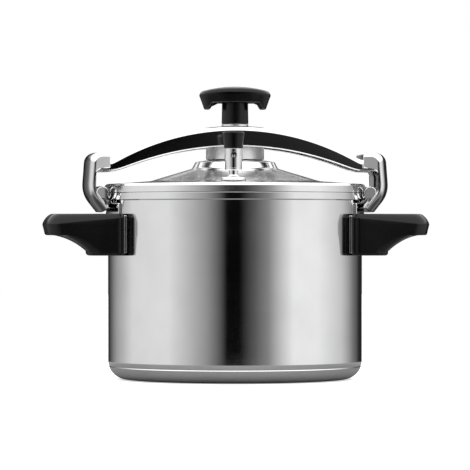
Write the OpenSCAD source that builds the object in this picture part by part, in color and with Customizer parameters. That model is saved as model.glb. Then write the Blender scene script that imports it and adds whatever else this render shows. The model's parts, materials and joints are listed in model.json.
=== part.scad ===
// Stovetop pressure cooker, closed by a bridge that hooks under two ears and is drawn up by a screw.
// Origin at the middle of the base, +Z up, handles along X, steam valve towards -Y. Millimetres.

/* [Pot] */
// Inside diameter of the pot
pot_d = 220; // [216:1:230]
// Height of the top of the pot's rolled rim
rim_z = 162; // [150:1:190]
// Sheet thickness of the pot
pot_t = 1; // [0.8:0.1:1.2]
// Outside radius of the bottom corner
corner_r = 16; // [15:0.5:20]
// Thickness of the aluminium plate in the base
core_t = 5.5; // [4:0.1:6]
// Sheet thickness of the steel cap round that plate
capsule_t = 1; // [0.8:0.1:1.2]
// Height of the cap's edge up the corner
capsule_z = 11.4; // [10.5:0.1:12.5]
// Radius of the rolled rim
rim_r = 3; // [2.5:0.1:3.2]

/* [Ears] */
// Radius of the rolled lip that the jaws hook under
lip_r = 5.5; // [5:0.1:5.6]
// Half angle that the lip spans round the pot
lip_half = 14.5; // [12:0.5:16]
// Half angle that the welded plate spans
plate_half = 33; // [30:0.5:34]
// Sheet thickness of an ear
ear_t = 2; // [1.5:0.1:2.2]

/* [Handles] */
// How far a handle stands out from the pot wall
handle_reach = 57.2; // [50:0.2:62]
// Width of a handle at the pot
handle_w = 132; // [122:1:134]
// Width of a handle near its tip
handle_tip_w = 110; // [100:1:114]
// Height of the handle's flat top
handle_z = 144; // [136:0.5:144]
// Height of the handle at its root
handle_root_h = 36; // [34:0.5:37]
// Thickness of the handle at its tip
handle_tip_h = 18.6; // [15:0.2:20]

/* [Lid] */
// Sheet thickness of the lid
lid_t = 1.5; // [1.2:0.1:1.8]
// Angle at which the lid stands turned on the pot
lid_set = -4; // [-8:1:8]
// Distance of the two valves from the middle of the lid
valve_radius = 75; // [73:1:78]

/* [Bridge] */
// Width across the bridge
bridge_w = 60; // [56:1:62]
// Plate thickness of the bridge
bridge_t = 3; // [2.5:0.1:3.5]
// Height of the top of the bridge above the pot's rim
bridge_rise = 58.4; // [58:0.1:60]
// Radius of the bridge's top along its length
arch_r = 210; // [205:1:215]
// Radius of the bridge's lower edge along its length
edge_r = 258; // [250:1:270]
// Height of the side wall at the middle of the bridge
wall_h = 17.8; // [16:0.1:18.4]
// Half angle that a jaw spans round the pot
jaw_half = 18.7; // [17:0.1:20]
// Plate thickness of a jaw
jaw_t = 4.6; // [4:0.1:5]

/* [Screw] */
// Nominal radius of the screw
screw_r = 7; // [6:0.1:7.5]
// Rise of the screw in one turn
screw_lead = 3; // [2:0.5:3]
// Turns from tight to fully open
screw_turns = 2; // [1:0.5:2]
// Radius of the pressure foot
foot_r = 25.4; // [23:0.1:26]
// Length of the knob
knob_l = 64.2; // [58:0.2:66]
// Depth of the knob, front to back
knob_d = 36; // [32:1:40]
// Radius of the knob's hub
hub_r = 11.7; // [11:0.1:12]

/* [Steam valve] */
// Radius of the valve's weight
weight_r = 7.5; // [7:0.1:8]
// Height of the valve's weight
weight_h = 18.7; // [17:0.1:20]

/* [Hidden] */
$fn = 96;

// Gap between pieces that move past each other, and the radial clearance of a running fit
gap = 0.3;
fit = 0.06;
// Overshoot of a cutting solid, and the reach of one that only has to pass right through
over = 1;
far = 400;
// Steps in a rounded stretch of an outline
steps = 8;

// Pot
pot_r = pot_d / 2;
wall_r = pot_r + pot_t;
floor_z = capsule_t + core_t + pot_t;
core_gap = 0.2;
fillet_in = corner_r - floor_z;
fillet_c = [pot_r - fillet_in, corner_r];
corner_c = [wall_r - corner_r, corner_r];
edge_out = -asin((corner_r - capsule_z) / corner_r);
edge_in = -asin((corner_r - capsule_z) / (fillet_in + pot_t));
rim_c = [wall_r, rim_z - rim_r];

// Ears
lip_c = [wall_r + rim_r + 0.4 + lip_r, rim_z + 0.5];
plate_r = wall_r + ear_t;
plate_low = handle_z - 34;
plate_top = handle_z - 1;
shoulder_half = 25;
shoulder_low = plate_top - 6;
shoulder_top = rim_z - 9;

// Handles
tip_x = wall_r + handle_reach;
tip_round = 120;
handle_in = wall_r - 21;
handle_low = handle_z - handle_root_h;
root_x = wall_r + 19.5;
under_r = 55;
bevel = 3.4;
screw_y = 22;
screw_z = handle_low + 9;
stud_r = 4.5;
stud_l = 10;
bolt_r = 2.5;
bolt_head_r = 4.5;
bolt_head_h = 3.2;
bolt_seat_x = wall_r + 17;

// Lid
skirt_r = wall_r + rim_r;
skirt_round = 3.5;
skirt_low = rim_z + 0.4;
skirt_c = [skirt_r - skirt_round, rim_z + 4];
cone_out = [74.5, rim_z + 10.6];
cone_in = [37.7, rim_z + 21.6];
plateau = [35.5, rim_z + 26.8];
dome_h = 4.2;
dome_r = (plateau[0] * plateau[0] + dome_h * dome_h) / (2 * dome_h);
dome_top = plateau[1] + dome_h;
seat_z = cone_out[1] - 0.4;
seat_r = 12.5;
under_in = 1.3;
cone_in_step = 1.1;
cone_out_step = 0.2;
gasket_r = skirt_r - lid_t - gap;
gasket_top = skirt_c[1] + lid_t;
gasket_low = rim_z - 1.5;
lip_in = pot_r - 8;
lip_t = 1.4;

// Bridge
top_z = rim_z + bridge_rise;
arch_z = top_z - arch_r;
low_z = top_z - wall_h;
bridge_round = 4.5;
bridge_end_r = wall_r + 14;
bridge_end_z = rim_z + 19;
tongue_x = wall_r - 7;
tongue_z = rim_z + 28.8;
jaw_top = rim_z + 35;
jaw_start = wall_r + 4;
jaw_cheek = [wall_r + 8.5, rim_z + 19.6];
jaw_corner = 8;
jaw_step = 0.8;
cheek_drop = 1.5;
jaw_out = [wall_r + 20.7, wall_r + 23.2];
jaw_bend = 10;
jaw_bend_c = [jaw_out[0] - jaw_bend, jaw_top - jaw_bend];
hook_a = 52;
hook_u = [cos(hook_a), sin(hook_a)];
hook_n = [sin(hook_a), -cos(hook_a)];
hook_t = 6;
hook_l = 12.5;
rivet_x = wall_r + 8;
rivet_y = 16;
rivet_r = 2.5;
rivet_head_r = 4.2;
rivet_head_h = 2;

// Screw, foot and knob
rise = screw_lead * screw_turns;
bush_r = 10.5;
bush_low = top_z - bridge_t - 7.8;
bush_flange_z = top_z - bridge_t - 0.8;
bush_flange_r = bush_r + 5;
bush_flange_h = 2.5;
washer_r = 11.6;
washer_t = 1;
foot_t = 2;
foot_rim_z = dome_z(foot_r - foot_t) + gap;
foot_top = bush_low - rise - gap;
foot_plate = 3;
journal_r = 5;
clip_r = 8;
clip_t = 1.2;
clip_slot = 4;
clip_space = 3;
neck_extra = 2;
hub_z = top_z + 2 * washer_t + gap;
knob_top = top_z + 35;
knob_under = knob_top - 14;
knob_lug = knob_top - 19;
knob_sag = 4;
knob_taper = 4;
knob_wall = 3.5;
knob_bow = 1.3;
rib_t = 2;
rib_y = 1.5;
finger_r = 7;
crown_r = (knob_l * knob_l / 4 + knob_sag * knob_sag) / (2 * knob_sag);
insert_r = 9;
insert_h = 15;

// Steam valve
duct_r = 3.8;
duct_bore = 1.5;
duct_flange_r = 11;
duct_flange_h = 3;
duct_top = seat_z + 15.5;
duct_tail = seat_z - 12;
strainer_t = 1.2;
strainer_h = 7;
strainer_floor = 2;
strainer_hole_r = 0.7;
strainer_ring_r = 2.3;
weight_z = seat_z + 8.6;
weight_bore = 4.3;
weight_bore_h = 14;
vent_z = weight_z + weight_h * 0.7;
needle_r = 3.2;
pin_r = duct_bore - 0.2;
pin_l = 3;
vent_r = 2.2;
cap_r = [8, 9.6];
cap_h = 14.2;
cap_stud_r = 3;
cap_stud_h = 7;

// Safety valve
safety_r = 8.5;
safety_h = 16;
chamber_r = 5.6;
chamber_z = seat_z + 2;
shank_r = 5;
shank_l = 8;
nut_r = 9;
nut_h = 3.2;
hex_r = nut_r + 1.5;
hex_h = 3;
spigot_h = 1.2;
plunger_r = 5;
plunger_h = 2;
stem_r = 2.5;
plug_h = 2.5;
spring_r = 4;
wire_r = 0.45;
coils = 4.5;
spring_air = 0.05;
spring_low = chamber_z + gap + plunger_h;
spring_top = seat_z + safety_h - plug_h;

// Points on the arc about c from angle a to angle b
function arc(c, r, a, b, n = steps) =
    [for (i = [0:n]) c + r * [cos(a + (b - a) * i / n), sin(a + (b - a) * i / n)]];

// Middle of the circle of radius r through p and q, on the left of the way from p to q
function circle_mid(p, q, r) =
    let (d = q - p, l = norm(d), h = sqrt(r * r - l * l / 4)) (p + q) / 2 + h / l * [-d[1], d[0]];

// Points on that circle from p to q
function arc_between(p, q, r) =
    let (c = circle_mid(p, q, r), a = p - c, b = q - c)
    arc(c, r, atan2(a[1], a[0]), atan2(b[1], b[0]));

// Height of the lid's dome at distance x from its middle
function dome_z(x) = dome_top - dome_r + sqrt(dome_r * dome_r - x * x);

// Upper outline of the lid from its middle to the edge of its skirt
function lid_outline() = concat(
    [for (i = [0:steps]) let (x = plateau[0] * i / steps) [x, dome_z(x)]],
    [cone_in, cone_out],
    arc(skirt_c, skirt_round, 90, 0)
);

// Solid of revolution, and the part of one that faces +X
module lathe(outline) rotate_extrude() polygon(outline);
module sector(outline, half) rotate([0, 0, -half]) rotate_extrude(angle = 2 * half) polygon(outline);

// Both sides of the pot, and the place of a valve on the lid
module both_sides() {
    children();
    mirror([1, 0, 0]) children();
}
module at_valve(side) rotate([0, 0, lid_set]) translate([0, side * valve_radius, 0]) children();

// Cylinder that starts at height z, and one with a bore
module rod(r, z, h) translate([0, 0, z]) cylinder(r = r, h = h);
module tube(r, bore, z, h) difference() {
    rod(r, z, h);
    rod(bore, z - over, h + 2 * over);
}

// Cylinder along X from x
module rod_x(r, x, l) translate([x, 0, 0]) rotate([0, 90, 0]) cylinder(r = r, h = l);

// Cylinder along Y through the middle plane, at height z
module rod_y(r, z, l) translate([0, l / 2, z]) rotate([90, 0, 0]) cylinder(r = r, h = l, $fn = 180);

// Pot ------------------------------------------------------------------

module pot_shell() color("silver") lathe(concat(
    [[0, floor_z]],
    arc(fillet_c, fillet_in, -90, 0),
    [[pot_r, rim_z]],
    arc(rim_c, rim_r, 90, -90),
    arc(fillet_c, fillet_in + pot_t, 0, -90),
    [[0, floor_z - pot_t]]
));

module base_core() color("gainsboro") lathe(concat(
    [[0, capsule_t]],
    arc(corner_c, corner_r - capsule_t - core_gap, -85, -60),
    [[corner_c[0] + (corner_r - capsule_t) / 2 - core_gap, capsule_t + core_t], [0, capsule_t + core_t]]
));

module base_capsule() color("lightgray") lathe(concat(
    [[0, 0]],
    arc(corner_c, corner_r, -90, edge_out),
    arc(fillet_c, fillet_in + pot_t, edge_in, -60),
    arc(corner_c, corner_r - capsule_t, -55, -90),
    [[0, capsule_t]]
));

// Ears and handles -----------------------------------------------------

module ear() {
    sector([[wall_r, plate_low], [plate_r, plate_low], [plate_r, plate_top], [wall_r, plate_top]],
           plate_half);
    sector([
        [wall_r + gap / 3, shoulder_low], [plate_r - gap / 3, shoulder_low],
        [plate_r - gap / 3, shoulder_top], [wall_r + gap / 3, shoulder_top]
    ], shoulder_half);
    sector(concat(
        [[wall_r + gap, shoulder_top - ear_t], [plate_r - gap, shoulder_top - ear_t]],
        arc(lip_c, lip_r, -118, 210, 3 * steps)
    ), lip_half);
}
module ear_right() color("silver") ear();
module ear_left() color("silver") mirror([1, 0, 0]) ear();

module handle_bolts() translate([0, 0, screw_z]) for (y = [-screw_y, screw_y]) translate([0, y, 0])
    children();

module handle() difference() {
    intersection() {
        translate([0, handle_w / 2, 0]) rotate([90, 0, 0]) linear_extrude(handle_w) polygon(concat(
            [[handle_in, handle_z], [tip_x - bevel, handle_z]],
            [[tip_x, handle_z - bevel], [tip_x, handle_z - handle_tip_h + bevel / 2]],
            [[tip_x - bevel / 2, handle_z - handle_tip_h]],
            arc_between([tip_x - 3 * bevel, handle_z - handle_tip_h], [root_x, handle_low], under_r),
            [[handle_in, handle_low]]
        ));
        translate([tip_x - tip_round, 0, handle_low - over])
            cylinder(r = tip_round, h = handle_root_h + 2 * over);
        translate([0, 0, handle_low - over]) linear_extrude(handle_root_h + 2 * over) polygon([
            [handle_in, -handle_w / 2], [tip_x, -handle_tip_w / 2],
            [tip_x, handle_tip_w / 2], [handle_in, handle_w / 2]
        ]);
    }
    rod(plate_r, handle_low - over, handle_root_h + 2 * over);
    handle_bolts() {
        rod_x(stud_r, wall_r, stud_l);
        rod_x(bolt_r, wall_r, handle_reach);
        rod_x(bolt_head_r + gap, bolt_seat_x, handle_reach);
    }
}
module handle_right() color("dimgray") handle();
module handle_left() color("dimgray") mirror([1, 0, 0]) handle();

module handle_studs() color("gray") both_sides() handle_bolts() difference() {
    rod_x(stud_r, plate_x(), wall_r + stud_l - plate_x());
    rod_x(bolt_r, plate_x() + over, stud_l + over);
}

// Where a stud meets the ear's plate, measured along X
function plate_x() = sqrt(plate_r * plate_r - pow(screw_y - stud_r, 2));

module handle_screws() color("gray") both_sides() handle_bolts() {
    rod_x(bolt_r, plate_x() + 2 * over, bolt_seat_x - plate_x() - 2 * over);
    difference() {
        rod_x(bolt_head_r, bolt_seat_x, bolt_head_h);
        rod_x(bolt_r / 2, bolt_seat_x + bolt_head_h / 2, bolt_head_h, $fn = 6);
    }
}

// Lid ------------------------------------------------------------------

// Underside of the lid from its middle to the inside of its skirt
function lid_under() = let (last = plateau[0] - under_in) concat(
    [for (i = [0:steps]) let (x = last * i / steps) [x, dome_z(x) - lid_t]],
    [cone_in - [cone_in_step, lid_t], cone_out - [cone_out_step, lid_t]],
    arc(skirt_c, skirt_round - lid_t, 90, 0)
);

module lid_shell() color("silver") difference() {
    lathe(concat(lid_outline(), [[skirt_r, skirt_low], [0, skirt_low]]));
    difference() {
        lathe(concat(lid_under(), [[skirt_r - lid_t, skirt_low - over], [0, skirt_low - over]]));
        for (side = [-1, 1]) at_valve(side) rod(seat_r + lid_t, seat_z - 2 * lid_t, far);
    }
    for (side = [-1, 1]) at_valve(side) rod(seat_r, seat_z, far);
    at_valve(-1) rod(duct_r, 0, far);
    at_valve(1) rod(shank_r, 0, far);
}

// Seal with an inner lip that hangs inside the pot's mouth
module lid_gasket() color("slategray") lathe([
    [gasket_r, skirt_low], [gasket_r, skirt_c[1]], [skirt_c[0], gasket_top],
    [lip_in, gasket_top], [lip_in, gasket_low], [lip_in + lip_t, gasket_low],
    [pot_r - lip_t / 2, rim_z + 2 * lip_t], [wall_r, rim_z + gap]
]);

module steam_duct() color("gainsboro") at_valve(-1) difference() {
    union() {
        rod(duct_r, duct_tail, duct_top - duct_tail);
        rod(duct_flange_r, seat_z, duct_flange_h);
    }
    rod(duct_bore, duct_tail - over, far);
}

module duct_nut() color("gray") at_valve(-1) difference() {
    rod(nut_r, seat_z - 2 * lid_t - nut_h, nut_h, $fn = 6);
    rod(duct_r, duct_tail, far);
}

module duct_strainer() color("gainsboro") at_valve(-1) difference() {
    rod(duct_r + strainer_t, duct_tail - strainer_floor, strainer_h);
    rod(duct_r, duct_tail, far);
    for (a = [0:60:300]) rotate([0, 0, a])
        translate([strainer_ring_r, 0, 0]) rod(strainer_hole_r, duct_tail - strainer_floor - over, far);
}

module safety_body() color("gainsboro") at_valve(1) difference() {
    union() {
        rod(safety_r, seat_z, safety_h - plug_h);
        rod(shank_r, seat_z - shank_l, shank_l + over);
        rod(hex_r, seat_z, hex_h, $fn = 6);
    }
    rod(chamber_r, chamber_z, far);
    rod(duct_bore, seat_z - far / 2, far);
}

module safety_cap() color("gainsboro") at_valve(1) difference() {
    union() {
        rod(safety_r, spring_top, plug_h);
        rod(chamber_r, spring_top - spigot_h, spigot_h);
    }
    rod(stem_r + fit, 0, far);
}

module safety_nut() color("gray") at_valve(1) difference() {
    rod(nut_r, seat_z - 2 * lid_t - nut_h, nut_h, $fn = 6);
    rod(shank_r, 0, far);
}

// Round wire coiled about Z
module safety_spring() color("gray") at_valve(1) {
    sides = 8;
    per_turn = 12;
    count = coils * per_turn;
    low = spring_low + wire_r + spring_air;
    high = spring_top - spigot_h - wire_r - spring_air;
    points = [for (i = [0:count]) for (j = [0:sides - 1])
        let (a = 360 * i / per_turn, b = 360 * j / sides, r = spring_r + wire_r * cos(b))
        [r * cos(a), r * sin(a), low + (high - low) * i / count + wire_r * sin(b)]];
    skin = [for (i = [0:count - 1]) for (j = [0:sides - 1])
        let (k = (j + 1) % sides, n = i * sides)
        [n + j, n + sides + j, n + sides + k, n + k]];
    polyhedron(points, concat(
        [[for (j = [0:sides - 1]) j]], skin, [[for (j = [sides - 1:-1:0]) count * sides + j]]
    ), convexity = 8);
}

module safety_plunger() color("tan") at_valve(1) {
    rod(plunger_r, chamber_z + gap, plunger_h);
    rod(stem_r, chamber_z + gap, seat_z + safety_h - chamber_z + spigot_h);
}

// Bridge ---------------------------------------------------------------

// Rounded inverted channel, bent along an arc about a line parallel to Y
module arch_channel() {
    half = bridge_w / 2;
    round_in = bridge_round - bridge_t;
    inner = half - bridge_t;
    low_r = arch_r - wall_h - jaw_corner;
    top_c = arch_r - bridge_round;
    spread = asin(wall_r / arch_r);
    translate([0, 0, arch_z]) rotate([90, 0, 0]) rotate([0, 0, 90 - spread])
        rotate_extrude(angle = 2 * spread, $fn = 180) polygon(concat(
            [[low_r, -half]],
            arc([top_c, bridge_round - half], bridge_round, -90, 0),
            arc([top_c, half - bridge_round], bridge_round, 0, 90),
            [[low_r, half], [low_r, inner]],
            arc([top_c, half - bridge_round], round_in, 90, 0),
            arc([top_c, bridge_round - half], round_in, 0, -90),
            [[low_r, -inner]]
        ));
}

// Flat end of the bridge, which a jaw sits on; it stands a little inside the arch's own sides
module tongue() intersection() {
    inset = 0.2;
    half = bridge_w / 2 - inset;
    translate([tongue_x, -half, 0]) difference() {
        cube([far, 2 * half, tongue_z]);
        translate([-over, bridge_t, -over]) cube([far, 2 * (half - bridge_t), tongue_z - bridge_t + over]);
    }
    rod(bridge_end_r, bridge_end_z - over, far);
}

module bridge_arch() color("lightsteelblue") difference() {
    union() {
        arch_channel();
        both_sides() tongue();
    }
    rod_y(edge_r, low_z - edge_r, 2 * bridge_w);
    rod(far, bridge_end_z - far, far);
    rod(bush_r, bush_low, far);
    jaw_rivets();
}

module jaw() {
    hook = lip_c + (lip_r + gap) * hook_n;
    inner_wall = jaw_out[1] - jaw_t - jaw_step;
    difference() {
        sector(concat(
            [[jaw_start, jaw_top]],
            arc(jaw_bend_c, jaw_bend, 90, 0),
            [[jaw_out[1], hook_z(hook + hook_t * hook_n, jaw_out[1])]],
            [hook + hook_t * hook_n - hook_l * hook_u, hook - hook_l * hook_u],
            [[inner_wall, hook_z(hook, inner_wall)]],
            arc([inner_wall - jaw_corner, jaw_cheek[1] - jaw_corner], jaw_corner, 0, 90),
            [[jaw_start, jaw_cheek[1] + cheek_drop]]
        ), jaw_half);
        bridge_end();
        jaw_rivets();
    }
}

// Space that the end of the bridge takes up inside a jaw
module bridge_end() intersection() {
    translate([0, -bridge_w / 2, 0]) cube([far, bridge_w, tongue_z]);
    rod(bridge_end_r, rim_z + jaw_corner, far);
}

// Height at distance x of the sloping line through p along the hook
function hook_z(p, x) = p[1] + (x - p[0]) * tan(hook_a);

module jaw_right() color("silver") jaw();
module jaw_left() color("silver") mirror([1, 0, 0]) jaw();

module jaw_rivets() color("gray") both_sides() for (y = [-rivet_y, rivet_y]) translate([rivet_x, y, 0]) {
    rod(rivet_r, tongue_z - bridge_t, jaw_top - tongue_z + bridge_t);
    translate([0, 0, jaw_top - rivet_r]) cylinder(r1 = rivet_r, r2 = rivet_head_r, h = rivet_r);
    rod(rivet_head_r, tongue_z - bridge_t - rivet_head_h, rivet_head_h);
}

module screw_bush() color("goldenrod") difference() {
    union() {
        rod(bush_r, bush_low, top_z + washer_t - bush_low);
        rod(bush_flange_r, bush_flange_z - bush_flange_h, bush_flange_h);
        rod(washer_r, top_z, washer_t);
    }
    rod(screw_r + fit, bush_low - over, far);
}

module bridge_washer() color("gainsboro") tube(washer_r, screw_r + gap, top_z + washer_t, washer_t);

// Foot, screw and knob -------------------------------------------------

module pressure_foot() color("gainsboro") difference() {
    lathe(concat(
        [[0, foot_top]],
        arc([foot_r - foot_plate, foot_top - foot_plate], foot_plate, 90, 0),
        [[foot_r, foot_rim_z], [foot_r - foot_t, foot_rim_z]],
        [[foot_r - foot_t, foot_top - foot_plate], [0, foot_top - foot_plate]]
    ));
    rod(journal_r + fit, 0, far);
}

module spindle() color("gray") difference() {
    union() {
        rod(screw_r, foot_top + gap, hub_z - foot_top + over - 2 * gap);
        rod(journal_r, foot_top - foot_plate - clip_space, foot_plate + clip_space + over);
        rod(screw_r - 1, hub_z, insert_h + neck_extra);
    }
    translate([0, 0, foot_top - foot_plate - gap - clip_t]) tube(journal_r + over, journal_r - 1, 0, clip_t);
}

module spindle_clip() color("black") difference() {
    rod(clip_r, foot_top - foot_plate - gap - clip_t, clip_t);
    rod(journal_r - 1, 0, far);
    translate([0, -clip_slot / 2, 0]) cube([far, clip_slot, far]);
}

// Oval between two shallow arcs, cut to length by a cone that widens upwards
module knob_plan(l, d, z, h) intersection() {
    flank = (l * l + d * d) / (2 * knob_bow * d);
    translate([0, flank - d / 2, 0]) rod(flank, z, h);
    translate([0, d / 2 - flank, 0]) rod(flank, z, h);
    translate([0, 0, z]) cylinder(r1 = l / 2 - knob_taper, r2 = l / 2, h = h);
}

module knob() color("dimgray") difference() {
    union() {
        intersection() {
            knob_plan(knob_l, knob_d, knob_lug, knob_top - knob_lug);
            translate([0, 0, knob_top - crown_r]) sphere(r = crown_r, $fn = 128);
        }
        rod(hub_r, hub_z, knob_under - hub_z + over);
    }
    difference() {
        knob_plan(knob_l - 2 * knob_wall, knob_d - 2 * knob_wall, knob_lug - over, knob_under - knob_lug + over);
        rod(hub_r, hub_z, far);
        for (y = [-rib_y, rib_y]) translate([-knob_l / 2, y - rib_t / 2, knob_lug - over])
            cube([knob_l, rib_t, far]);
    }
    both_sides() translate([hub_r + finger_r + over, 0, 0])
        rod_y(finger_r, knob_under - finger_r + over, knob_d + 2 * over);
    rod(insert_r, hub_z - over, insert_h + over);
    rod(screw_r - 1, hub_z, insert_h + neck_extra);
}

module knob_insert() color("goldenrod") difference() {
    rod(insert_r, hub_z, insert_h);
    rod(screw_r, hub_z - over, 2 * over);
    rod(screw_r - 1, hub_z - over, far);
}

// Steam valve ----------------------------------------------------------

module valve_needle() color("gainsboro") at_valve(-1) {
    rod(needle_r, duct_top + gap, weight_z + weight_bore_h - duct_top - 2 * gap);
    rod(pin_r, duct_top - pin_l + over, pin_l);
}

module valve_weight() color("silver") at_valve(-1) {
    difference() {
        rod(weight_r, weight_z, weight_h);
        rod(weight_bore, weight_z - over, weight_bore_h + over);
        translate([0, 0, vent_z]) rotate([90, 0, 0]) cylinder(r = vent_r, h = far);
    }
    rod(cap_stud_r, weight_z + weight_h, cap_stud_h);
}

module valve_cap() color("dimgray") at_valve(-1) difference() {
    translate([0, 0, weight_z + weight_h]) cylinder(r1 = cap_r[0], r2 = cap_r[1], h = cap_h);
    rod(cap_stud_r, weight_z, weight_h + cap_stud_h);
}

pot_shell();
base_core();
base_capsule();
ear_left();
ear_right();
handle_left();
handle_right();
handle_studs();
handle_screws();
lid_shell();
lid_gasket();
steam_duct();
duct_nut();
duct_strainer();
safety_body();
safety_cap();
safety_nut();
safety_spring();
safety_plunger();
bridge_arch();
jaw_left();
jaw_right();
jaw_rivets();
screw_bush();
bridge_washer();
pressure_foot();
spindle();
spindle_clip();
knob();
knob_insert();
valve_needle();
valve_weight();
valve_cap();
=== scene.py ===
"""Stovetop pressure cooker: smooth shells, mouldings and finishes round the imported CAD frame.

Lengths are in millimetres; make() turns them into metres. Outlines are (distance, height) pairs.
"""

import json
import math

import bmesh
import bpy
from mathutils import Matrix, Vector

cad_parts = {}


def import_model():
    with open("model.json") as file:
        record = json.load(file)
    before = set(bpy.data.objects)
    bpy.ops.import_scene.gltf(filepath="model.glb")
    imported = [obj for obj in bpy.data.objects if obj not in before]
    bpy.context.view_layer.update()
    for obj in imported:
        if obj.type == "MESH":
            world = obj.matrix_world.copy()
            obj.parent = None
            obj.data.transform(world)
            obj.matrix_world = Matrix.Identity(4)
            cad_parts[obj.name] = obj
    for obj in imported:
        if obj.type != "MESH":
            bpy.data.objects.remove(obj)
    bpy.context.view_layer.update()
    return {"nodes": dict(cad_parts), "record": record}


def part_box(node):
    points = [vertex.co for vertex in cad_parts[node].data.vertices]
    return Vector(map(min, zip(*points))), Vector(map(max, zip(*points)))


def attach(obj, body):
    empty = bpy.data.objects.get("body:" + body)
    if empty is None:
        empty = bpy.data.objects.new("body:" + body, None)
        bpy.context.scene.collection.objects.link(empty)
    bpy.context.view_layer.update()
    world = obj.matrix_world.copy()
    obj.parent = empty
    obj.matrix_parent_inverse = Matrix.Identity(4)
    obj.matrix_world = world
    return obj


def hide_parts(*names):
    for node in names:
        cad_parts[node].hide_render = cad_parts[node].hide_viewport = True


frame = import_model()

MM = 0.001
AROUND = 288          # segments in a full turn
GAP = 0.3             # air between pieces that lie close


def span(node):
    """Lowest and highest corner of a CAD node in millimetres."""
    lo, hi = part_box(node)
    return lo / MM, hi / MM


def smoothstep(a, b, x):
    t = min(max((x - a) / (b - a), 0), 1)
    return t * t * (3 - 2 * t)


def mix(a, b, t):
    return a + (b - a) * t


# Outlines and meshes ---------------------------------------------------------

def arc(centre, radius, start, end, steps=12):
    """Points on a circle between two angles in degrees."""
    turns = [math.radians(mix(start, end, i / steps)) for i in range(steps + 1)]
    return [(centre[0] + radius * math.cos(a), centre[1] + radius * math.sin(a)) for a in turns]


def rounded(corners, steps=6):
    """Closed outline through corners (x, z, radius), each corner turned into an arc."""
    out = []
    for i, (x, z, radius) in enumerate(corners):
        p = Vector((x, z))
        to_last = Vector(corners[i - 1][:2]) - p
        to_next = Vector(corners[(i + 1) % len(corners)][:2]) - p
        if radius == 0:
            out.append((x, z))
            continue
        half = to_last.angle(to_next) / 2
        reach = min(radius / math.tan(half), to_last.length * 0.49, to_next.length * 0.49)
        u, v = to_last.normalized(), to_next.normalized()
        centre = p + (u + v).normalized() * (reach / math.cos(half))
        first, last = p + u * reach - centre, p + v * reach - centre
        a, b = math.atan2(first.y, first.x), math.atan2(last.y, last.x)
        turn = (b - a + math.pi) % (2 * math.pi) - math.pi
        for k in range(steps + 1):
            t = a + turn * k / steps
            out.append((centre.x + first.length * math.cos(t), centre.y + first.length * math.sin(t)))
    return out


def inset(outline, depth):
    """The closed outline drawn in by depth, which is one number or one for each point."""
    count = len(outline)
    depths = depth if isinstance(depth, list) else [depth] * count
    area = sum(outline[i - 1][0] * outline[i][1] - outline[i][0] * outline[i - 1][1] for i in range(count))
    side = 1 if area > 0 else -1
    out = []
    for i, (x, z) in enumerate(outline):
        before = Vector((x, z)) - Vector(outline[i - 1])
        after = Vector(outline[(i + 1) % count]) - Vector((x, z))
        if before.length < 1e-6:
            before = after
        if after.length < 1e-6:
            after = before
        along = (before.normalized() + after.normalized()).normalized()
        lean = max(along.dot(after.normalized()), 0.5)
        out.append((x - side * along.y * depths[i] / lean, z + side * along.x * depths[i] / lean))
    return out


def edge_steps(radius, steps=5):
    """(distance from the end, inset) pairs that round an end over by radius."""
    turns = [math.radians(90 * i / steps) for i in range(steps + 1)]
    return [(radius - radius * math.cos(a), radius - radius * math.sin(a)) for a in turns]


def make(name, points, faces, sharp=32):
    """Mesh object from points in millimetres, cleaned, its faces turned outward, and shaded."""
    mesh = bpy.data.meshes.new(name)
    mesh.from_pydata([Vector(p) * MM for p in points], [], faces)
    bm = bmesh.new()
    bm.from_mesh(mesh)
    bmesh.ops.remove_doubles(bm, verts=bm.verts, dist=2e-6)
    bmesh.ops.dissolve_degenerate(bm, edges=bm.edges, dist=1e-6)
    bmesh.ops.recalc_face_normals(bm, faces=bm.faces)
    bm.to_mesh(mesh)
    bm.free()
    mesh.shade_smooth()
    mesh.set_sharp_from_angle(angle=math.radians(sharp))
    obj = bpy.data.objects.new(name, mesh)
    bpy.context.scene.collection.objects.link(obj)
    return obj


def loft(name, rings, loop=False, sharp=32):
    """Skin over rings of equal length; the ends are capped unless the rings close on themselves."""
    n = len(rings[0])
    points = [p for ring in rings for p in ring]
    faces = []
    for i in range(len(rings) if loop else len(rings) - 1):
        a, b = i * n, (i + 1) % len(rings) * n
        faces += [(a + j, a + (j + 1) % n, b + (j + 1) % n, b + j) for j in range(n)]
    if not loop:
        faces += [tuple(range(n)), tuple(range(len(points) - n, len(points)))]
    return make(name, points, faces, sharp)


def lathe(name, outline, at=(0, 0), segments=AROUND, sharp=32):
    """Solid of revolution of a closed outline about the upright through at."""
    rings = []
    for j in range(segments):
        a = 2 * math.pi * j / segments
        rings.append([(at[0] + r * math.cos(a), at[1] + r * math.sin(a), z) for r, z in outline])
    return loft(name, rings, loop=True, sharp=sharp)


def fit_out(obj, body, finish, *nodes, material=None):
    """Gives a new piece its material and body, and hides the CAD nodes that it stands for."""
    obj.data.materials.append(material or FINISHES[finish])
    flats = obj.modifiers.new("flats", "WEIGHTED_NORMAL")
    flats.keep_sharp = True
    flats.weight = 60
    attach(obj, body)
    if nodes:
        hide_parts(*nodes)
    return obj


def cut_away(obj, tool):
    """Cuts a tool's volume out of a piece by a Boolean, applied."""
    cut = obj.modifiers.new("hole", "BOOLEAN")
    cut.operation, cut.solver, cut.object = "DIFFERENCE", "EXACT", tool
    graph = bpy.context.evaluated_depsgraph_get()
    result = bpy.data.meshes.new_from_object(obj.evaluated_get(graph))
    obj.modifiers.clear()
    obj.data = result
    bpy.data.objects.remove(tool)


# Finishes --------------------------------------------------------------------

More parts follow.
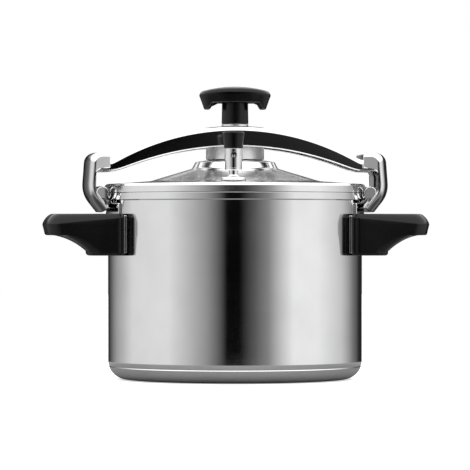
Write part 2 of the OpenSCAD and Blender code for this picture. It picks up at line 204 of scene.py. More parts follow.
class Nodes:
    """A material's node tree, built by short calls."""

    def __init__(self, name):
        self.material = bpy.data.materials.new(name)
        self.material.use_nodes = True
        self.tree = self.material.node_tree
        self.shader = self.tree.nodes["Principled BSDF"]
        coordinates = self.tree.nodes.new("ShaderNodeTexCoord")
        self.place = coordinates.outputs["Object"]

    def link(self, value, socket):
        if hasattr(value, "is_output"):
            self.tree.links.new(value, socket)
        else:
            socket.default_value = value

    def math(self, operation, *values):
        node = self.tree.nodes.new("ShaderNodeMath")
        node.operation = operation
        for value, socket in zip(values, node.inputs):
            self.link(value, socket)
        return node.outputs[0]

    def noise(self, where, scale, detail=3.0, rough=0.55):
        node = self.tree.nodes.new("ShaderNodeTexNoise")
        self.link(where, node.inputs["Vector"])
        node.inputs["Scale"].default_value = scale
        node.inputs["Detail"].default_value = detail
        node.inputs["Roughness"].default_value = rough
        return node.outputs["Fac"]

    def remap(self, value, low, high, to_low, to_high):
        node = self.tree.nodes.new("ShaderNodeMapRange")
        limits = {"From Min": low, "From Max": high, "To Min": to_low, "To Max": to_high}
        for socket, number in limits.items():
            node.inputs[socket].default_value = number
        self.link(value, node.inputs["Value"])
        return node.outputs["Result"]

    def ramp(self, value, *stops):
        node = self.tree.nodes.new("ShaderNodeValToRGB")
        while len(node.color_ramp.elements) < len(stops):
            node.color_ramp.elements.new(0.5)
        for element, (place, color) in zip(node.color_ramp.elements, stops):
            element.position = place
            element.color = (*color, 1)
        self.link(value, node.inputs["Fac"])
        return node.outputs["Color"]

    def lines(self, way):
        """Coordinates stretched along the grain: round the object's axis, or along X."""
        split = self.tree.nodes.new("ShaderNodeSeparateXYZ")
        self.link(self.place, split.inputs[0])
        x, y, z = split.outputs
        joined = self.tree.nodes.new("ShaderNodeCombineXYZ")
        if way == "round":
            angle = self.math("ARCTAN2", y, x)
            squares = self.math("ADD", self.math("MULTIPLY", x, x), self.math("MULTIPLY", y, y))
            radius = self.math("SQRT", squares)
            parts = (self.math("MULTIPLY", angle, 1.6), self.math("MULTIPLY", radius, 900.0),
                     self.math("MULTIPLY", z, 900.0))
        else:
            parts = (self.math("MULTIPLY", x, 18.0), self.math("MULTIPLY", y, 700.0),
                     self.math("MULTIPLY", z, 700.0))
        for part, socket in zip(parts, joined.inputs):
            self.link(part, socket)
        return joined.outputs[0]

    def bump(self, height, strength, distance=0.0004, under=None):
        node = self.tree.nodes.new("ShaderNodeBump")
        node.inputs["Strength"].default_value = strength
        node.inputs["Distance"].default_value = distance
        self.link(height, node.inputs["Height"])
        if under:
            self.link(under, node.inputs["Normal"])
        return node.outputs["Normal"]

    def set(self, **values):
        names = {"color": "Base Color", "metallic": "Metallic", "roughness": "Roughness",
                 "normal": "Normal", "specular": "Specular IOR Level"}
        for key, value in values.items():
            self.link(value, self.shader.inputs[names[key]])


def metal(name, dark, light, smooth, rough, way, grain):
    """Worked metal: grain lines, faint haze that changes the gloss, and a few fine rubbing marks."""
    n = Nodes(name)
    haze = n.noise(n.place, 22.0, 4.0)
    grains = n.noise(n.lines(way), 1.0, 2.0, 0.7)
    marks = n.noise(n.lines("along"), 0.35, 5.0, 0.75)
    color = n.ramp(haze, (0.3, dark), (0.72, light))
    gloss = n.remap(haze, 0.3, 0.75, smooth, rough)
    gloss = n.math("ADD", gloss, n.remap(grains, 0.35, 0.7, 0.0, grain * 0.3))
    gloss = n.math("ADD", gloss, n.remap(marks, 0.66, 0.8, 0.0, 0.05))
    n.set(color=color, metallic=1.0, roughness=gloss, normal=n.bump(grains, grain, 0.00008))
    return n.material


def moulding(name):
    """Black phenolic: near-black, with a fine moulded skin and faint clouding that changes the gloss."""
    n = Nodes(name)
    cloud = n.noise(n.place, 30.0, 4.0)
    skin = n.noise(n.place, 1500.0, 2.0)
    flow = n.noise(n.place, 260.0, 3.0, 0.6)
    n.set(color=n.ramp(cloud, (0.3, (0.0012, 0.0012, 0.0013)), (0.75, (0.003, 0.003, 0.0032))),
          roughness=n.math("ADD", n.remap(cloud, 0.3, 0.7, 0.15, 0.21), n.remap(skin, 0.4, 0.7, 0.0, 0.04)),
          normal=n.bump(skin, 0.1, 0.00005, n.bump(flow, 0.05, 0.0001)), specular=0.32)
    return n.material


def rubber(name):
    """Moulded seal: charcoal, matt, with a fine grain."""
    n = Nodes(name)
    cloud = n.noise(n.place, 60.0, 3.0)
    n.set(color=n.ramp(cloud, (0.3, (0.035, 0.036, 0.04)), (0.7, (0.06, 0.061, 0.066))),
          roughness=n.remap(cloud, 0.3, 0.7, 0.6, 0.78), normal=n.bump(n.noise(n.place, 900.0, 3.0), 0.2))
    return n.material


FINISHES = {
    "polished_steel": metal("polished_steel", (0.84, 0.84, 0.845), (0.92, 0.92, 0.92),
                            0.06, 0.11, "round", 0.05),
    "turned_steel": metal("turned_steel", (0.56, 0.56, 0.57), (0.68, 0.68, 0.69),
                          0.14, 0.24, "round", 0.25),
    "base_aluminium": metal("base_aluminium", (0.66, 0.665, 0.67), (0.78, 0.785, 0.79),
                            0.28, 0.42, "along", 0.3),
    "turned_brass": metal("turned_brass", (0.60, 0.43, 0.18), (0.76, 0.58, 0.30),
                          0.18, 0.32, "round", 0.25),
    "black_moulding": moulding("black_moulding"),
    "seal_rubber": rubber("seal_rubber"),
}
# Polished steel as it is on single pieces: softer on the lid, satin on the foot, grained along the bridge
LID_STEEL = metal("lid_steel", (0.90, 0.90, 0.905), (0.95, 0.95, 0.95), 0.14, 0.20, "round", 0.05)
FOOT_STEEL = metal("foot_steel", (0.93, 0.93, 0.93), (0.97, 0.97, 0.97), 0.48, 0.56, "round", 0.05)
BRIGHT = metal("bridge_steel", (0.84, 0.84, 0.845), (0.92, 0.92, 0.92), 0.05, 0.09, "along", 0.05)

for item in frame["record"]["subparts"]:
    slots = frame["nodes"][item["node"]].data.materials
    slots.clear()
    slots.append(FINISHES[item["material_slot"]])


# Pot and base ----------------------------------------------------------------

POT_HI = span("pot_shell")[1]
BEAD = 3.0                            # how far the rolled rim stands out; it is twice as high
BEAD_EDGE = 0.3                       # rounding of the rim's outer edges
BEAD_TOP = 2.0                        # rounding where the rim turns into the pot
WALL_CUTS = (40, 80, 120)             # heights of extra loops that keep the tall wall's shading flat
WALL = POT_HI.x - BEAD                # outside radius of the wall
SHEET = 1.0
RIM = POT_HI.z
CAPSULE_TOP = span("base_capsule")[1].z
CORE_TOP = span("base_core")[1].z
FLOOR = CORE_TOP + SHEET              # inside of the pot's floor
CORNER = 16.0                         # radius of the bottom corner
FILLET = CORNER - FLOOR               # radius inside the pot's corner


def pot_body():
    """Thin drawn shell whose rim is rolled into a flat-faced bead."""
    inner, centre = WALL - SHEET, (WALL - SHEET - FILLET, CORNER)
    outline = [(0, FLOOR)] + arc(centre, FILLET, -90, 0, 16)
    outline += [(inner, z) for z in (*WALL_CUTS, RIM - 4)]
    outline += arc((WALL + 0.6, RIM - BEAD_TOP), BEAD_TOP, 150, 90, 6)[:-1]
    outline += arc((POT_HI.x - BEAD_EDGE, RIM - BEAD_EDGE), BEAD_EDGE, 90, 0, 5)
    bead_low = RIM - 2 * BEAD
    outline += arc((POT_HI.x - 0.35, bead_low + 0.4), 0.35, 0, -80, 5)
    outline += [(WALL, z) for z in (bead_low - 0.6, bead_low - 1.4, *reversed(WALL_CUTS))]
    outline += arc(centre, FILLET + SHEET, 0, -90, 16) + [(0, CORE_TOP)]
    return fit_out(lathe("pot_body", outline), "pot", "polished_steel", "pot_shell")


def base_cap():
    """Pressed cap round the base: a shallow recess below, its upper edge turned in onto the wall."""
    recess = 0.6
    centre = (WALL - CORNER, CORNER)
    lift = -math.degrees(math.asin((CORNER - CAPSULE_TOP) / CORNER))
    outline = [(0, recess), (60, recess), (64, 0)] + arc(centre, CORNER, -90, lift - 2, 24)
    edge = outline[-1]
    outline += [(edge[0] - 0.15, edge[1] + 0.55), (edge[0] - 0.55, edge[1] + 0.65)]
    outline += arc(centre, CORNER - SHEET, lift - 2, -90, 16) + [(0, SHEET + recess)]
    return fit_out(lathe("base_cap", outline), "pot", "polished_steel", "base_capsule")


pot_body()
base_cap()


# Lid -------------------------------------------------------------------------

LID_LO, LID_HI = span("lid_shell")
DUCT = span("steam_duct")
SAFETY = span("safety_body")
DUCT_AT = ((DUCT[0].x + DUCT[1].x) / 2, (DUCT[0].y + DUCT[1].y) / 2)
SAFETY_AT = ((SAFETY[0].x + SAFETY[1].x) / 2, (SAFETY[0].y + SAFETY[1].y) / 2)
LID_SHEET = 1.5
SKIRT = POT_HI.x
SEAT = RIM + 10.2                     # height of the flat under each valve
SEAT_R = 11.4
CONE_STEP = 1.2                       # spacing of the cone's rings, close enough to shape the flats
SEAT_BLEND = 13.0                     # width over which that flat runs out into the lid


def lid_cover():
    """Pressed lid: raised middle, cone, flat ring, turned-down skirt and two flats for the valves."""
    ring_z = RIM + 10.6
    top = rounded([
        (0, LID_HI.z, 0), (20, LID_HI.z - 1.35, 60), (34.6, RIM + 27.4, 1.6), (37.7, RIM + 21.6, 2.2),
        (74.5, ring_z, 14), (108, RIM + 8.0, 30), (SKIRT, RIM + 8.1, 2.6), (SKIRT, LID_LO.z, 0),
        (SKIRT - LID_SHEET, LID_LO.z, 0), (SKIRT - LID_SHEET, RIM + 6.5, 1.6), (108, RIM + 6.4, 30),
        (74.4, ring_z - LID_SHEET, 12), (36.2, RIM + 20.2, 2.2), (33.2, RIM + 25.9, 1.6),
        (20, LID_HI.z - 1.4 - LID_SHEET, 60), (0, LID_HI.z - LID_SHEET, 0)], 8)
    fine = []
    for i, (r, z) in enumerate(top):
        r2, z2 = top[(i + 1) % len(top)]
        on_cone = max(r, r2) < 100 and min(r, r2) > 40
        cuts = max(1, round(math.hypot(r2 - r, z2 - z) / CONE_STEP)) if on_cone else 1
        fine += [(mix(r, r2, k / cuts), mix(z, z2, k / cuts)) for k in range(cuts)]
    lid = lathe("lid_cover", fine, segments=480)
    for vertex in lid.data.vertices:
        x, y, z = vertex.co / MM
        near = min(math.hypot(x - p[0], y - p[1]) for p in (DUCT_AT, SAFETY_AT))
        under = LID_SHEET if z < profile_top(math.hypot(x, y)) - LID_SHEET * 0.5 else 0
        vertex.co.z = mix(SEAT - under, z, smoothstep(SEAT_R, SEAT_R + SEAT_BLEND, near)) * MM
    lid.data.update()
    return fit_out(lid, "lid", "polished_steel", "lid_shell", material=LID_STEEL)


def profile_top(r):
    """Rough height of the lid's upper face at radius r, used to tell its two faces apart."""
    marks = ((0, LID_HI.z), (35, RIM + 27), (37.7, RIM + 21.6), (74.5, RIM + 10.6), (108, RIM + 8),
             (114, RIM + 8))
    for (a, za), (b, zb) in zip(marks, marks[1:]):
        if r <= b:
            return mix(za, zb, (r - a) / (b - a))
    return marks[-1][1]


lid_cover()


# Ears and handles ------------------------------------------------------------

EAR = span("ear_right")
HANDLE = span("handle_right")
PLATE = 29.5                          # half angle of the welded plate
SHOULDER = 25.0                       # half angle of the narrower part above the handle
LIP_HALF = 14.5                       # half angle of the rolled lip
LIP_R = 5.5
EAR_T = 2                             # thickness of the welded plate
LIP = (EAR[1].x - LIP_R, EAR[1].z - LIP_R)


def bent(outline, half_angle, radius, edge=1.2):
    """Rings of an outline swung round the pot's axis, with rounded ends."""
    length = math.radians(half_angle) * radius
    ends = edge_steps(edge)
    flat = [(-length + d, i) for d, i in ends]
    middle = [(mix(-length + edge, length - edge, k / 40), 0) for k in range(1, 40)]
    stations = flat + middle + [(-s, i) for s, i in reversed(flat)]
    rings = []
    for s, i in stations:
        a = s / radius
        rings.append([(r * math.cos(a), r * math.sin(a), z) for r, z in inset(outline, i)])
    return rings


def mirrored(rings, side):
    return [[(side * x, y, z) for x, y, z in ring] for ring in rings]


def ear(side, name):
    """Welded plate behind the handle, a narrower shoulder above it, and a neck that ends in a rolled lip."""
    low, high = EAR[0].z, HANDLE[1].z - 1.5
    back, front = WALL + 0.02, WALL + EAR_T
    plate = rounded([(back, low, 0), (front, low, 0.8), (front, high, 0.8), (back, high, 0)], 4)
    obj = loft(f"{name}_plate", mirrored(bent(plate, PLATE, WALL + 1, 0.9), side))
    fit_out(obj, "pot", "polished_steel", name)
    shoulder = rounded([(WALL + 0.03, high - 6, 0), (WALL + 1.9, high - 6, 0.3), (WALL + 1.9, RIM - 9, 1.2),
                        (WALL + 0.03, RIM - 8, 0)], 4)
    obj = loft(f"{name}_shoulder", mirrored(bent(shoulder, SHOULDER, WALL + 1, 0.9), side))
    fit_out(obj, "pot", "polished_steel")
    neck = [(WALL + 1.8, RIM - 16), (WALL + 0.1, RIM - 16), (WALL + 0.25, RIM - 8)]
    neck += arc(LIP, LIP_R, 205, -105, 40) + [(WALL + 2.0, RIM - 10)]
    lip = loft(f"{name}_lip", mirrored(bent(neck, LIP_HALF, LIP[0], 0.9), side))
    fit_out(lip, "pot", "polished_steel")


def handle(side, name):
    """Phenolic side handle: a block on the wall that runs out into a slab with a wide, soft top bevel."""
    tip, top, low = HANDLE[1].x, HANDLE[1].z, HANDLE[0].z
    half, tip_half = HANDLE[1].y - 4, HANDLE[1].y - 11    # half the width at the pot and at the tip
    hug, root = WALL + EAR_T + 0.1, WALL + 19.5
    nose_long, nose_deep = 7, 5.0
    nose_y = half - nose_deep
    nose_x = math.sqrt(hug * hug - nose_y * nose_y)
    slab = top - 18.6
    bevel, bevel_drop = 7.8, 9.2

    def plan(reach):
        """Outline at one height, from the wall round the outer end and back to the wall."""
        width = mix(half, tip_half, min(max((reach - nose_x) / (tip - nose_x), 0), 1))
        bulge = 1 + smoothstep(root, tip, reach) * 4
        front = [(nose_x + nose_long - nose_long * math.cos(a), -nose_y - nose_deep * math.sin(a))
                 for a in (math.radians(9 * k) for k in range(11))]
        way = [(*front[-1], 0), (reach - bulge, -width, 14), (reach, -width * 0.45, 40),
               (reach, width * 0.45, 40), (reach - bulge, width, 14), (front[-1][0], -front[-1][1], 0)]
        outer = front[:-1] + rounded(way, 8) + [(x, -y) for x, y in reversed(front[:-1])]
        angle = math.degrees(math.asin(nose_y / hug))
        return outer + arc((0, 0), hug, angle - 1, 1 - angle, 36)

    def free(x, y):
        """Whether a point is clear of the wall that the handle lies on."""
        return math.hypot(x, y) > hug + 0.05

    def spread(x):
        """How much of the full bevel there is at distance x."""
        return smoothstep(nose_x + 4, nose_x + 20, x)

    rings = []

    def add(z, reach):
        rings.append([(x, y, z) for x, y in plan(reach)])

    for d, i in edge_steps(2.4, 4):
        outline = plan(root)
        depths = [i if free(x, y) else 0.0 for x, y in outline]
        rings.append([(x, y, low + d) for x, y in inset(outline, depths)])
    start, under = Vector((root, low + 3.6)), Vector((tip - 10, slab))
    radius = 55.0
    chord = under - start
    across = Vector((chord.y, -chord.x)).normalized()
    centre = (under + start) / 2 + across * math.sqrt(radius ** 2 - (chord.length / 2) ** 2)
    first = math.atan2(start.y - centre.y, start.x - centre.x)
    last = math.atan2(under.y - centre.y, under.x - centre.x)
    for k in range(15):
        a = mix(first, last, k / 14)
        add(centre.y + radius * math.sin(a), centre.x + radius * math.cos(a))
    for lift, back in ((0.15, 4.0), (0.5, 2.6), (1.4, 1.9), (4.5, 1.2)):
        add(slab + lift, tip - back)
    add(top - bevel_drop - 0.2, tip)
    base = plan(tip)
    for turn in range(6, 91, 12):
        c, s = math.cos(math.radians(turn)) ** 1.35, math.sin(math.radians(turn)) ** 1.35
        depths = [mix(2.0, bevel, spread(x)) * (1 - c) if free(x, y) else 0.0 for x, y in base]
        heights = [top - mix(0.45, 1.0, spread(x)) * bevel_drop * (1 - s) for x, y in base]
        rings.append([(x, y, z) for (x, y), z in zip(inset(base, depths), heights)])
    obj = loft(f"{name}_moulding", mirrored(rings, side), sharp=50)
    fit_out(obj, "pot", "black_moulding", name)


for side, word in ((1, "right"), (-1, "left")):
    ear(side, f"ear_{word}")
    handle(side, f"handle_{word}")


# Bridge and jaws -------------------------------------------------------------

BRIDGE = span("bridge_arch")
JAW = span("jaw_right")
HALF_W = BRIDGE[1].y
ARCH_R, EDGE_R = 210.0, 258.0
WALL_H = 17.8
PLATE_T = 3.0
TONGUE = RIM + 28.8


def bridge():
    """Pressed channel bent to an arch, its lower edges rounded, with flat ends for the jaws."""
    top, low = BRIDGE[1].z, BRIDGE[0].z
    inner = HALF_W - PLATE_T
    hole = 10.7
    end = 121.0
    stations = [end * k / 90 for k in range(-90, 91)]
    rings = []
    for x in stations:
        arch = top - ARCH_R + math.sqrt(ARCH_R ** 2 - x * x)
        edge = top - WALL_H - EDGE_R + math.sqrt(EDGE_R ** 2 - x * x)
        zt = soft_max(arch, TONGUE, 1.2)
        zb = soft_max(edge, low, 2.5) - 0.02
        rings.append([(x, y, z) for y, z in rounded([
            (-inner, zb, 1.2), (-HALF_W, zb, 1.75), (-HALF_W, zt, 4.5), (HALF_W, zt, 4.5),
            (HALF_W, zb, 1.75), (inner, zb, 1.2), (inner, zt - PLATE_T, 2.0),
            (-inner, zt - PLATE_T, 2.0)], 8)])
    obj = loft("bridge_channel", rings)
    low_cut, high_cut = top - 12, top + 6
    outline = [(0, low_cut), (hole, low_cut), (hole, high_cut), (0, high_cut)]
    cut_away(obj, lathe("cutter", outline, segments=96))
    fit_out(obj, "bridge", "polished_steel", "bridge_arch", material=BRIGHT)


def soft_max(a, b, width):
    """Larger of two heights, blended where they meet."""
    return (a + b + math.sqrt((a - b) ** 2 + width * width)) / 2 - width * 0.08


def jaw(side, name):
    """Thick bent plate over the bridge's end, with a cheek at each side and a hook below."""
    top, out = JAW[1].z, JAW[1].x
    slope = math.radians(52)
    thick = 6
    hook = (math.cos(slope), math.sin(slope))
    away = (hook[1], -hook[0])
    near = (LIP[0] + (LIP_R + GAP) * away[0], LIP[1] + (LIP_R + GAP) * away[1])
    far = (near[0] + thick * away[0], near[1] + thick * away[1])

    def on_hook(p, x):
        return p[1] + (x - p[0]) * math.tan(slope)

    def outline(cheek, outer=0.0, inner=0.0):
        """Section through a cheek or between the cheeks, drawn in on its outer and inner side."""
        bottom = (RIM + 20 if cheek else TONGUE + 0.1) + inner
        wall_in = out - (5.4 if cheek else 4.2) + inner
        edge_x, left = out - outer, WALL + 4.2 + inner
        outside = (far[0] - outer * away[0], far[1] - outer * away[1])
        inside = (near[0] + inner * away[0], near[1] + inner * away[1])
        reach = 12.5 - inner
        tips = [(p[0] - reach * hook[0], p[1] - reach * hook[1], 0.8) for p in (outside, inside)]
        return rounded([
            (left, top - outer, 1.0), (edge_x - 2.6, top - outer, 10 - outer),
            (edge_x, on_hook(outside, edge_x), 24 - outer), *tips, (wall_in, on_hook(inside, wall_in), 9),
            (wall_in, bottom, 7 if cheek else 3), (left, bottom + (1.5 if cheek else 0), 1.0)], 7)

    radius = WALL * 1.13              # bend in plan, a little flatter than the pot's
    half = math.radians(18.7) * radius
    cheek_at = HALF_W + 0.6           # start of a cheek, just outside the bridge's wall
    wide, deep, narrow = 6.5, 3.9, 1.2    # reach and depth of the ends' rounding, and its reach inside

    def drop(distance, reach, depth):
        return depth * (1 - math.sqrt(1 - (1 - min(distance / reach, 1)) ** 2))

    ends = [wide * (1 - math.cos(math.radians(turn))) for turn in range(0, 91, 9)]
    last = [(-half + d, outline(True, drop(d, wide, deep), drop(d, narrow, 1.0))) for d in ends]
    steps = 6
    last += [(mix(-half + wide, -cheek_at, k / steps), outline(True)) for k in range(1, steps + 1)]
    inner_steps = 24
    rings = list(last)
    rings += [(mix(-cheek_at, cheek_at, k / inner_steps), outline(False)) for k in range(inner_steps + 1)]
    rings += [(-s, ring) for s, ring in reversed(last)]
    bent_rings = [[(r * math.cos(s / radius), r * math.sin(s / radius), z) for r, z in ring]
                  for s, ring in rings]
    obj = loft(f"{name}_plate", mirrored(bent_rings, side))
    fit_out(obj, "bridge", "polished_steel", name, material=BRIGHT)


bridge()
for side, word in ((1, "right"), (-1, "left")):
    jaw(side, f"jaw_{word}")


# Screw, foot and knob --------------------------------------------------------

FOOT = span("pressure_foot")
KNOB = span("knob")
SPINDLE = span("spindle")
BUSH = span("screw_bush")
WASHER = span("bridge_washer")


def foot():
    """Turned cup that presses on the middle of the lid."""
    r, low, high = FOOT[1].x, FOOT[0].z, FOOT[1].z
    bore, wall, plate = 5.06, 2, 3
    outline = rounded([(bore, high, 0.4), (r, high, 1.6), (r, low, 0.5), (r - wall, low, 0.5),
                       (r - wall, high - plate, 1.5), (bore, high - plate, 0.3)], 6)
    obj = lathe("foot_cup", outline)
    fit_out(obj, "foot", "polished_steel", "pressure_foot", material=FOOT_STEEL)


def spindle():
    """Screw with a rolled thread, a journal for the foot and a plain end in the knob."""
    low, high, r = SPINDLE[0].z, SPINDLE[1].z, 7.0
    lead, depth_full, run_out = 3.0, 0.9, 12
    thread_low, thread_high = FOOT[1].z + 0.1, KNOB[0].z + 0.8
    turns = (thread_high - thread_low) / lead
    around = 48
    count = int(turns * around)
    points, faces = [], []
    shape = [(-0.5, -depth_full), (-0.12, 0.0), (0.12, 0.0), (0.5, -depth_full)]
    for i in range(count + 1):
        a = 2 * math.pi * i / around
        z = thread_low + lead * i / around
        fade = min(1, i / run_out, (count - i) / run_out)
        for along, depth in shape:
            rr = r + min(depth, 0) - (1 - fade) * (depth_full + depth)
            zz = min(max(z + along * lead, thread_low), thread_high)
            points.append((rr * math.cos(a), rr * math.sin(a), zz))
    for i in range(count):
        for j in range(3):
            k = i * 4 + j
            faces.append((k, k + 1, k + 5, k + 4))
        faces.append((i * 4 + 3, i * 4, i * 4 + 4, i * 4 + 7))
    faces += [(0, 1, 2, 3), tuple(range(len(points) - 4, len(points)))]
    fit_out(make("spindle_thread", points, faces, 25), "screw", "turned_steel")
    core = rounded([(0, high, 0), (5.8, high, 0.8), (5.8, thread_high, 0), (r - 0.92, thread_high, 0),
                    (r - 0.92, thread_low, 0.3), (4.94, thread_low, 0), (4.94, low, 0.8), (0, low, 0)], 4)
    fit_out(lathe("spindle_core", core, segments=96), "screw", "turned_steel", "spindle")


def bush_and_washers():
    """Threaded bush with its flange, and the bright washer that the knob's hub turns on."""
    low, high, top = BUSH[0].z, BUSH[1].z, BRIDGE[1].z
    bore, body, flange, collar = 7.08, 10.5, 15.4, 11.6
    under, over = top - 6.4, top - 3.9
    outline = rounded([(bore, low, 0.4), (body, low, 0.6), (body, under, 0), (flange, under, 0.5),
                       (flange, over, 0.5), (body, over, 0), (body, top + 0.02, 0),
                       (collar, top + 0.02, 0.1), (collar, high, 0.15), (bore, high, 0.3)], 4)
    fit_out(lathe("bush_flanged", outline), "bridge", "polished_steel", "screw_bush")
    bore, r, low, high = 7.3, WASHER[1].x, WASHER[0].z, WASHER[1].z
    outline = rounded([(bore, low, 0.2), (r, low + 0.03, 0.12), (r, high, 0.15), (bore, high, 0.2)], 4)
    fit_out(lathe("washer_bright", outline), "bridge", "polished_steel", "bridge_washer")


def knob():
    """Wing knob: a crowned oval, hollow below, with lugs at its ends, ribs and a round hub."""
    length, depth = KNOB[1].x, KNOB[1].y
    top, low = KNOB[1].z, KNOB[0].z
    around = 144
    under, lug = top - 14.2, top - 19.9
    edge, inward = 3.4, 3.6           # height and depth of the rounding between flank and crown

    def spot(k, grow, taper):
        a = 2 * math.pi * k / around
        c, s = math.cos(a), math.sin(a)
        x = math.copysign(abs(c) ** 0.82, c) * (length + grow - taper * abs(c))
        y = s * (depth + grow - taper * 0.35)
        return x, y, abs(c)

    def crown(x, y):
        return top - 4.6 * (x / length) ** 2 - 2.2 * (y / depth) ** 2 * (1 - 0.4 * abs(x / length))

    def rim(c):
        return mix(under, lug, smoothstep(0.66, 0.90, c))

    def skin(grow, taper, height):
        """One loop of the skin; height gives the Z of a point from x, y and its nearness to an end."""
        spots = [spot(k, grow, taper) for k in range(around)]
        return [(x, y, height(x, y, c)) for x, y, c in spots]

    wall = 3.2
    rings = []
    for share in (0.0, 0.5, 1.0):
        rings.append(skin(-wall - 5 + 4.5 * share, 3.0,
                          lambda x, y, c: mix(top - 6.5, rim(c) + 1.0, share ** 2.2)))
    for grow, taper, lift in ((-wall + 0.6, 4.6, 0.15), (-wall + 1.4, 4.4, 0.0), (-1.0, 4.2, 0.0),
                              (-0.3, 4.1, 0.3), (0.0, 3.9, 1.1)):
        rings.append(skin(grow, taper, lambda x, y, c: rim(c) + lift))
    for share in (0.35, 0.7):
        rings.append(skin(0, mix(3.9, 0.0, share),
                          lambda x, y, c: mix(rim(c) + 1.1, crown(x, y) - edge, share)))
    for turn in range(0, 91, 15):
        t = math.radians(turn)
        rings.append(skin(-inward * (1 - math.cos(t)), 0.0,
                          lambda x, y, c: crown(x, y) - edge + edge * math.sin(t)))
    last = skin(-inward, 0.0, lambda x, y, c: 0)
    for share in (0.8, 0.6, 0.4, 0.2, 0.06):
        rings.append([(x * share, y * share, crown(x * share, y * share)) for x, y, z in last])
    fit_out(loft("knob_crown", rings, sharp=60), "screw", "black_moulding", "knob")
    hub_r = 11.7
    hub = rounded([(7.2, low + 0.02, 0.3), (hub_r, low + 0.02, 0.8), (hub_r - 0.3, under + 1, 3.0),
                   (hub_r + 3, top - 7, 0), (7.2, top - 7, 0)], 6)
    fit_out(lathe("knob_hub", hub), "screw", "black_moulding")
    for number, (heading, reach) in enumerate(((4, 24), (-28, 22), (176, 24), (152, 22))):
        a = math.radians(heading)
        section = [(hub_r - 1, under + 2.5), (reach, under - 2.4), (reach, top - 7.2),
                   (hub_r - 1, top - 7.2)]
        side = Vector((-math.sin(a), math.cos(a), 0))
        rings = []
        for offset, draw in ((-1.1, 0.4), (-0.7, 0.0), (0.7, 0.0), (1.1, 0.4)):
            ring = []
            for r, z in inset(section, draw):
                ring.append(Vector((r * math.cos(a), r * math.sin(a), z)) + side * offset)
            rings.append(ring)
        fit_out(loft(f"knob_rib_{number + 1}", rings), "screw", "black_moulding")


foot()
spindle()
bush_and_washers()
knob()


# Steam valve and safety valve ------------------------------------------------

WEIGHT = span("valve_weight")
CAP = span("valve_cap")


def steam_valve():
    """Duct with its flange, weight with a side hole, and black cap; the needle stays as in the CAD."""
    low, high = DUCT[0].z, DUCT[1].z
    duct = rounded([(1.5, low, 0.3), (3.8, low, 0.4), (3.8, SEAT + 0.02, 0), (11, SEAT + 0.02, 0.3),
                    (10.6, SEAT + 2.6, 1.1), (5.2, SEAT + 3, 1.2), (3.8, SEAT + 4.6, 1.2), (3.8, high, 0.5),
                    (1.5, high, 0.3)], 5)
    fit_out(lathe("duct_turned", duct, DUCT_AT, 128), "lid", "polished_steel", "steam_duct")
    r, base, top = 7.5, WEIGHT[0].z, CAP[0].z
    bore, roof, stud, groove = 4.3, base + 14, 3.0, r - 0.35
    body = rounded([(bore, base, 0.4), (r, base, 0.7), (r, base + 1.6, 0), (groove, base + 1.75, 0),
                    (groove, base + 2.1, 0), (r, base + 2.25, 0), (r, top - 0.04, 0.4),
                    (stud, top - 0.04, 0), (stud, WEIGHT[1].z, 0.4), (0, WEIGHT[1].z, 0), (0, roof, 0),
                    (bore, roof, 0.5)], 4)
    weight = lathe("weight_turned", body, DUCT_AT, 160)
    side_hole(weight, 2.2, base + 13.1)
    fit_out(weight, "valve", "polished_steel", "valve_weight")
    cap_top = CAP[1].z
    cap = rounded([(3.02, top, 0), (8.0, top, 0.7), (9.6, cap_top, 1.6), (6.8, cap_top - 0.1, 0.8),
                   (6.2, cap_top - 0.9, 0.8), (0, cap_top - 1.1, 0), (0, WEIGHT[1].z + 0.1, 0),
                   (3.02, WEIGHT[1].z + 0.1, 0)], 6)
    fit_out(lathe("cap_moulding", cap, DUCT_AT, 160), "valve", "black_moulding", "valve_cap")


def side_hole(obj, radius, height):
    """Drills the steam hole that looks towards -Y, with a narrow countersink."""
    x, y = DUCT_AT
    rings = []                        # from inside the bore out through the wall
    for distance, r in ((2.5, radius), (6.75, radius), (7.9, radius + 1.0)):
        ring = []
        for k in range(48):
            a = 2 * math.pi * k / 48
            ring.append((x + r * math.cos(a), y - distance, height + r * math.sin(a)))
        rings.append(ring)
    cut_away(obj, loft("cutter", rings))
    obj.data.shade_smooth()
    obj.data.set_sharp_from_angle(angle=math.radians(32))


def safety_valve():
    """Cap with a rounded edge; the body, spring, nut and plunger stay as in the CAD."""
    low, high = span("safety_cap")
    cap = rounded([(2.56, low.z, 0.2), (5.5, low.z, 0.2), (5.5, high.z - 2.5, 0), (8.5, high.z - 2.5, 0.2),
                   (8.5, high.z - 1.2, 0.9), (6.6, high.z, 0.8), (2.56, high.z, 0.3)], 5)
    fit_out(lathe("safety_cap_turned", cap, SAFETY_AT, 128), "lid", "turned_steel", "safety_cap")


steam_valve()
safety_valve()


# Studio ----------------------------------------------------------------------

CAMERA_TURN = -3.0                    # degrees round the object from its front
DISTANCE = 2800.0                     # from the camera to the object's axis
EYE = 125.7                           # height of the camera
FLOOR_GLOW = 0.55                     # light that the floor gives off, so that it prints white
DISC_R, DISC_GREY = 330, 0.26         # the disc that stands in for the floor in reflections; its grey is painted shade
TENT = (                              # bearing in degrees, 0 towards the camera, and brightness there
    (-164, 0.01), (-150, 0.13), (-134, 0.36), (-120, 0.52), (-106, 0.74), (-62, 0.78), (-46, 0.58),
    (-26, 0.32), (-15, 0.13), (-7.5, 0.002), (4.5, 0.002), (9, 0.03), (18, 0.10), (30, 0.24), (42, 0.58),
    (54, 0.90), (80, 0.90), (96, 0.74), (112, 0.60), (134, 0.19), (152, 0.02))
TENT_TOP, TENT_LOW = 1.6, 0.26        # brightness of the tent's top and of its lower part


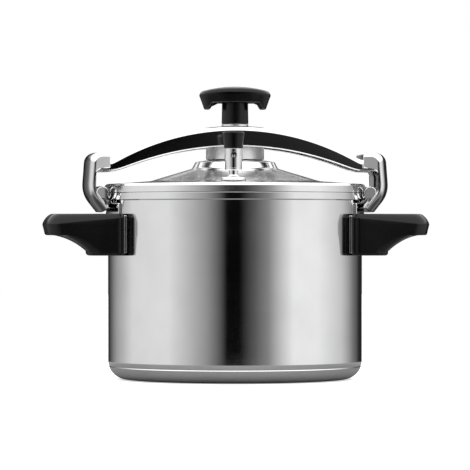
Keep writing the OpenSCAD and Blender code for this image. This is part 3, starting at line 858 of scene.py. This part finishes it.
def studio():
    """White floor, and a dim disc round the pot that stands in for it in reflections; the disc's grey is
    painted shade.
    """
    material = Nodes("pale_floor")
    material.set(color=(0.9, 0.9, 0.9, 1), roughness=1.0, specular=0.0)
    material.shader.inputs["Emission Color"].default_value = (1, 1, 1, 1)
    material.shader.inputs["Emission Strength"].default_value = FLOOR_GLOW
    reach, level = 4e3, -0.4
    floor = make("floor", [(-reach, -reach, level), (reach, -reach, level), (reach, reach, level),
                           (-reach, reach, level)], [(0, 1, 2, 3)])
    floor.visible_glossy = False
    circle = arc((0, 0), DISC_R, 0, 350, 35)
    near = make("floor_near", [(x, y, level / 2) for x, y in circle], [tuple(range(len(circle)))])
    near.visible_camera = near.visible_diffuse = near.visible_shadow = False
    # The disc's grey is painted shade: the floor near the pot, darker in reflections than the floor the
    # camera sees
    dim = Nodes("shaded_floor_in_reflections")
    dim.set(color=(DISC_GREY, DISC_GREY, DISC_GREY, 1), roughness=1.0, specular=0.0)
    for part, coat in ((floor, material), (near, dim)):
        part.data.materials.append(coat.material)


def world():
    """Light tent: dark gap behind the camera, bright sides that fall off, bright top and a dim lower part."""
    scene_world = bpy.data.worlds.new("light_tent")
    bpy.context.scene.world = scene_world
    scene_world.use_nodes = True
    tree = scene_world.node_tree
    tree.nodes.clear()
    new, link = tree.nodes.new, tree.links.new

    def calc(operation, *values):
        node = new("ShaderNodeMath")
        node.operation = operation
        for value, socket in zip(values, node.inputs):
            if hasattr(value, "is_output"):
                link(value, socket)
            else:
                socket.default_value = value
        return node.outputs[0]

    def grey_ramp(value, stops):
        node = new("ShaderNodeValToRGB")
        while len(node.color_ramp.elements) < len(stops):
            node.color_ramp.elements.new(0.5)
        for element, (place, level) in zip(node.color_ramp.elements, stops):
            element.position = place
            element.color = (level, level, level, 1)
        link(value, node.inputs["Fac"])
        return node.outputs["Color"]

    def step(value, low, high):
        node = new("ShaderNodeMapRange")
        node.interpolation_type = "SMOOTHSTEP"
        node.inputs["From Min"].default_value = low
        node.inputs["From Max"].default_value = high
        link(value, node.inputs["Value"])
        return node.outputs["Result"]

    def blend(share, first, second):
        node = new("ShaderNodeMix")
        node.data_type = "RGBA"
        link(share, node.inputs[0])
        for value, socket in ((first, node.inputs[6]), (second, node.inputs[7])):
            if hasattr(value, "is_output"):
                link(value, socket)
            else:
                socket.default_value = (value, value, value, 1)
        return node.outputs[2]

    split = new("ShaderNodeSeparateXYZ")
    link(new("ShaderNodeTexCoord").outputs["Generated"], split.inputs[0])
    x, y, z = split.outputs
    turn = math.radians(CAMERA_TURN)
    across = calc("ADD", calc("MULTIPLY", x, math.cos(turn)), calc("MULTIPLY", y, math.sin(turn)))
    ahead = calc("SUBTRACT", calc("MULTIPLY", x, math.sin(turn)), calc("MULTIPLY", y, math.cos(turn)))
    bearing = calc("ARCTAN2", across, ahead)
    share = calc("ADD", calc("DIVIDE", bearing, 2 * math.pi), 0.5)

    def at(degrees):
        return 0.5 + degrees / 360

    band = grey_ramp(share, [(at(bearing), level) for bearing, level in TENT])
    rise = calc("ARCSINE", z)
    up = blend(step(rise, math.radians(9), math.radians(24)), band, TENT_TOP)
    down = blend(step(calc("MULTIPLY", rise, -1.0), math.radians(10), math.radians(26)), up, TENT_LOW)
    paths = new("ShaderNodeLightPath")
    seen = blend(paths.outputs["Is Camera Ray"], down, 1.0)
    background = new("ShaderNodeBackground")
    link(seen, background.inputs["Color"])
    output = new("ShaderNodeOutputWorld")
    link(background.outputs[0], output.inputs["Surface"])


def camera():
    """Long lens, level, a little to the left of the front."""
    data = bpy.data.cameras.new("camera")
    data.lens, data.sensor_width = 245, 36
    data.clip_start, data.clip_end = 0.1, 50
    obj = bpy.data.objects.new("camera", data)
    bpy.context.scene.collection.objects.link(obj)
    turn = math.radians(CAMERA_TURN)
    obj.location = Vector((math.sin(turn), -math.cos(turn), 0)) * DISTANCE * MM + Vector((0, 0, EYE * MM))
    obj.rotation_euler = (math.radians(90), 0, turn)
    bpy.context.scene.camera = obj


studio()
world()
camera()
bpy.context.scene.view_settings.view_transform = "Standard"
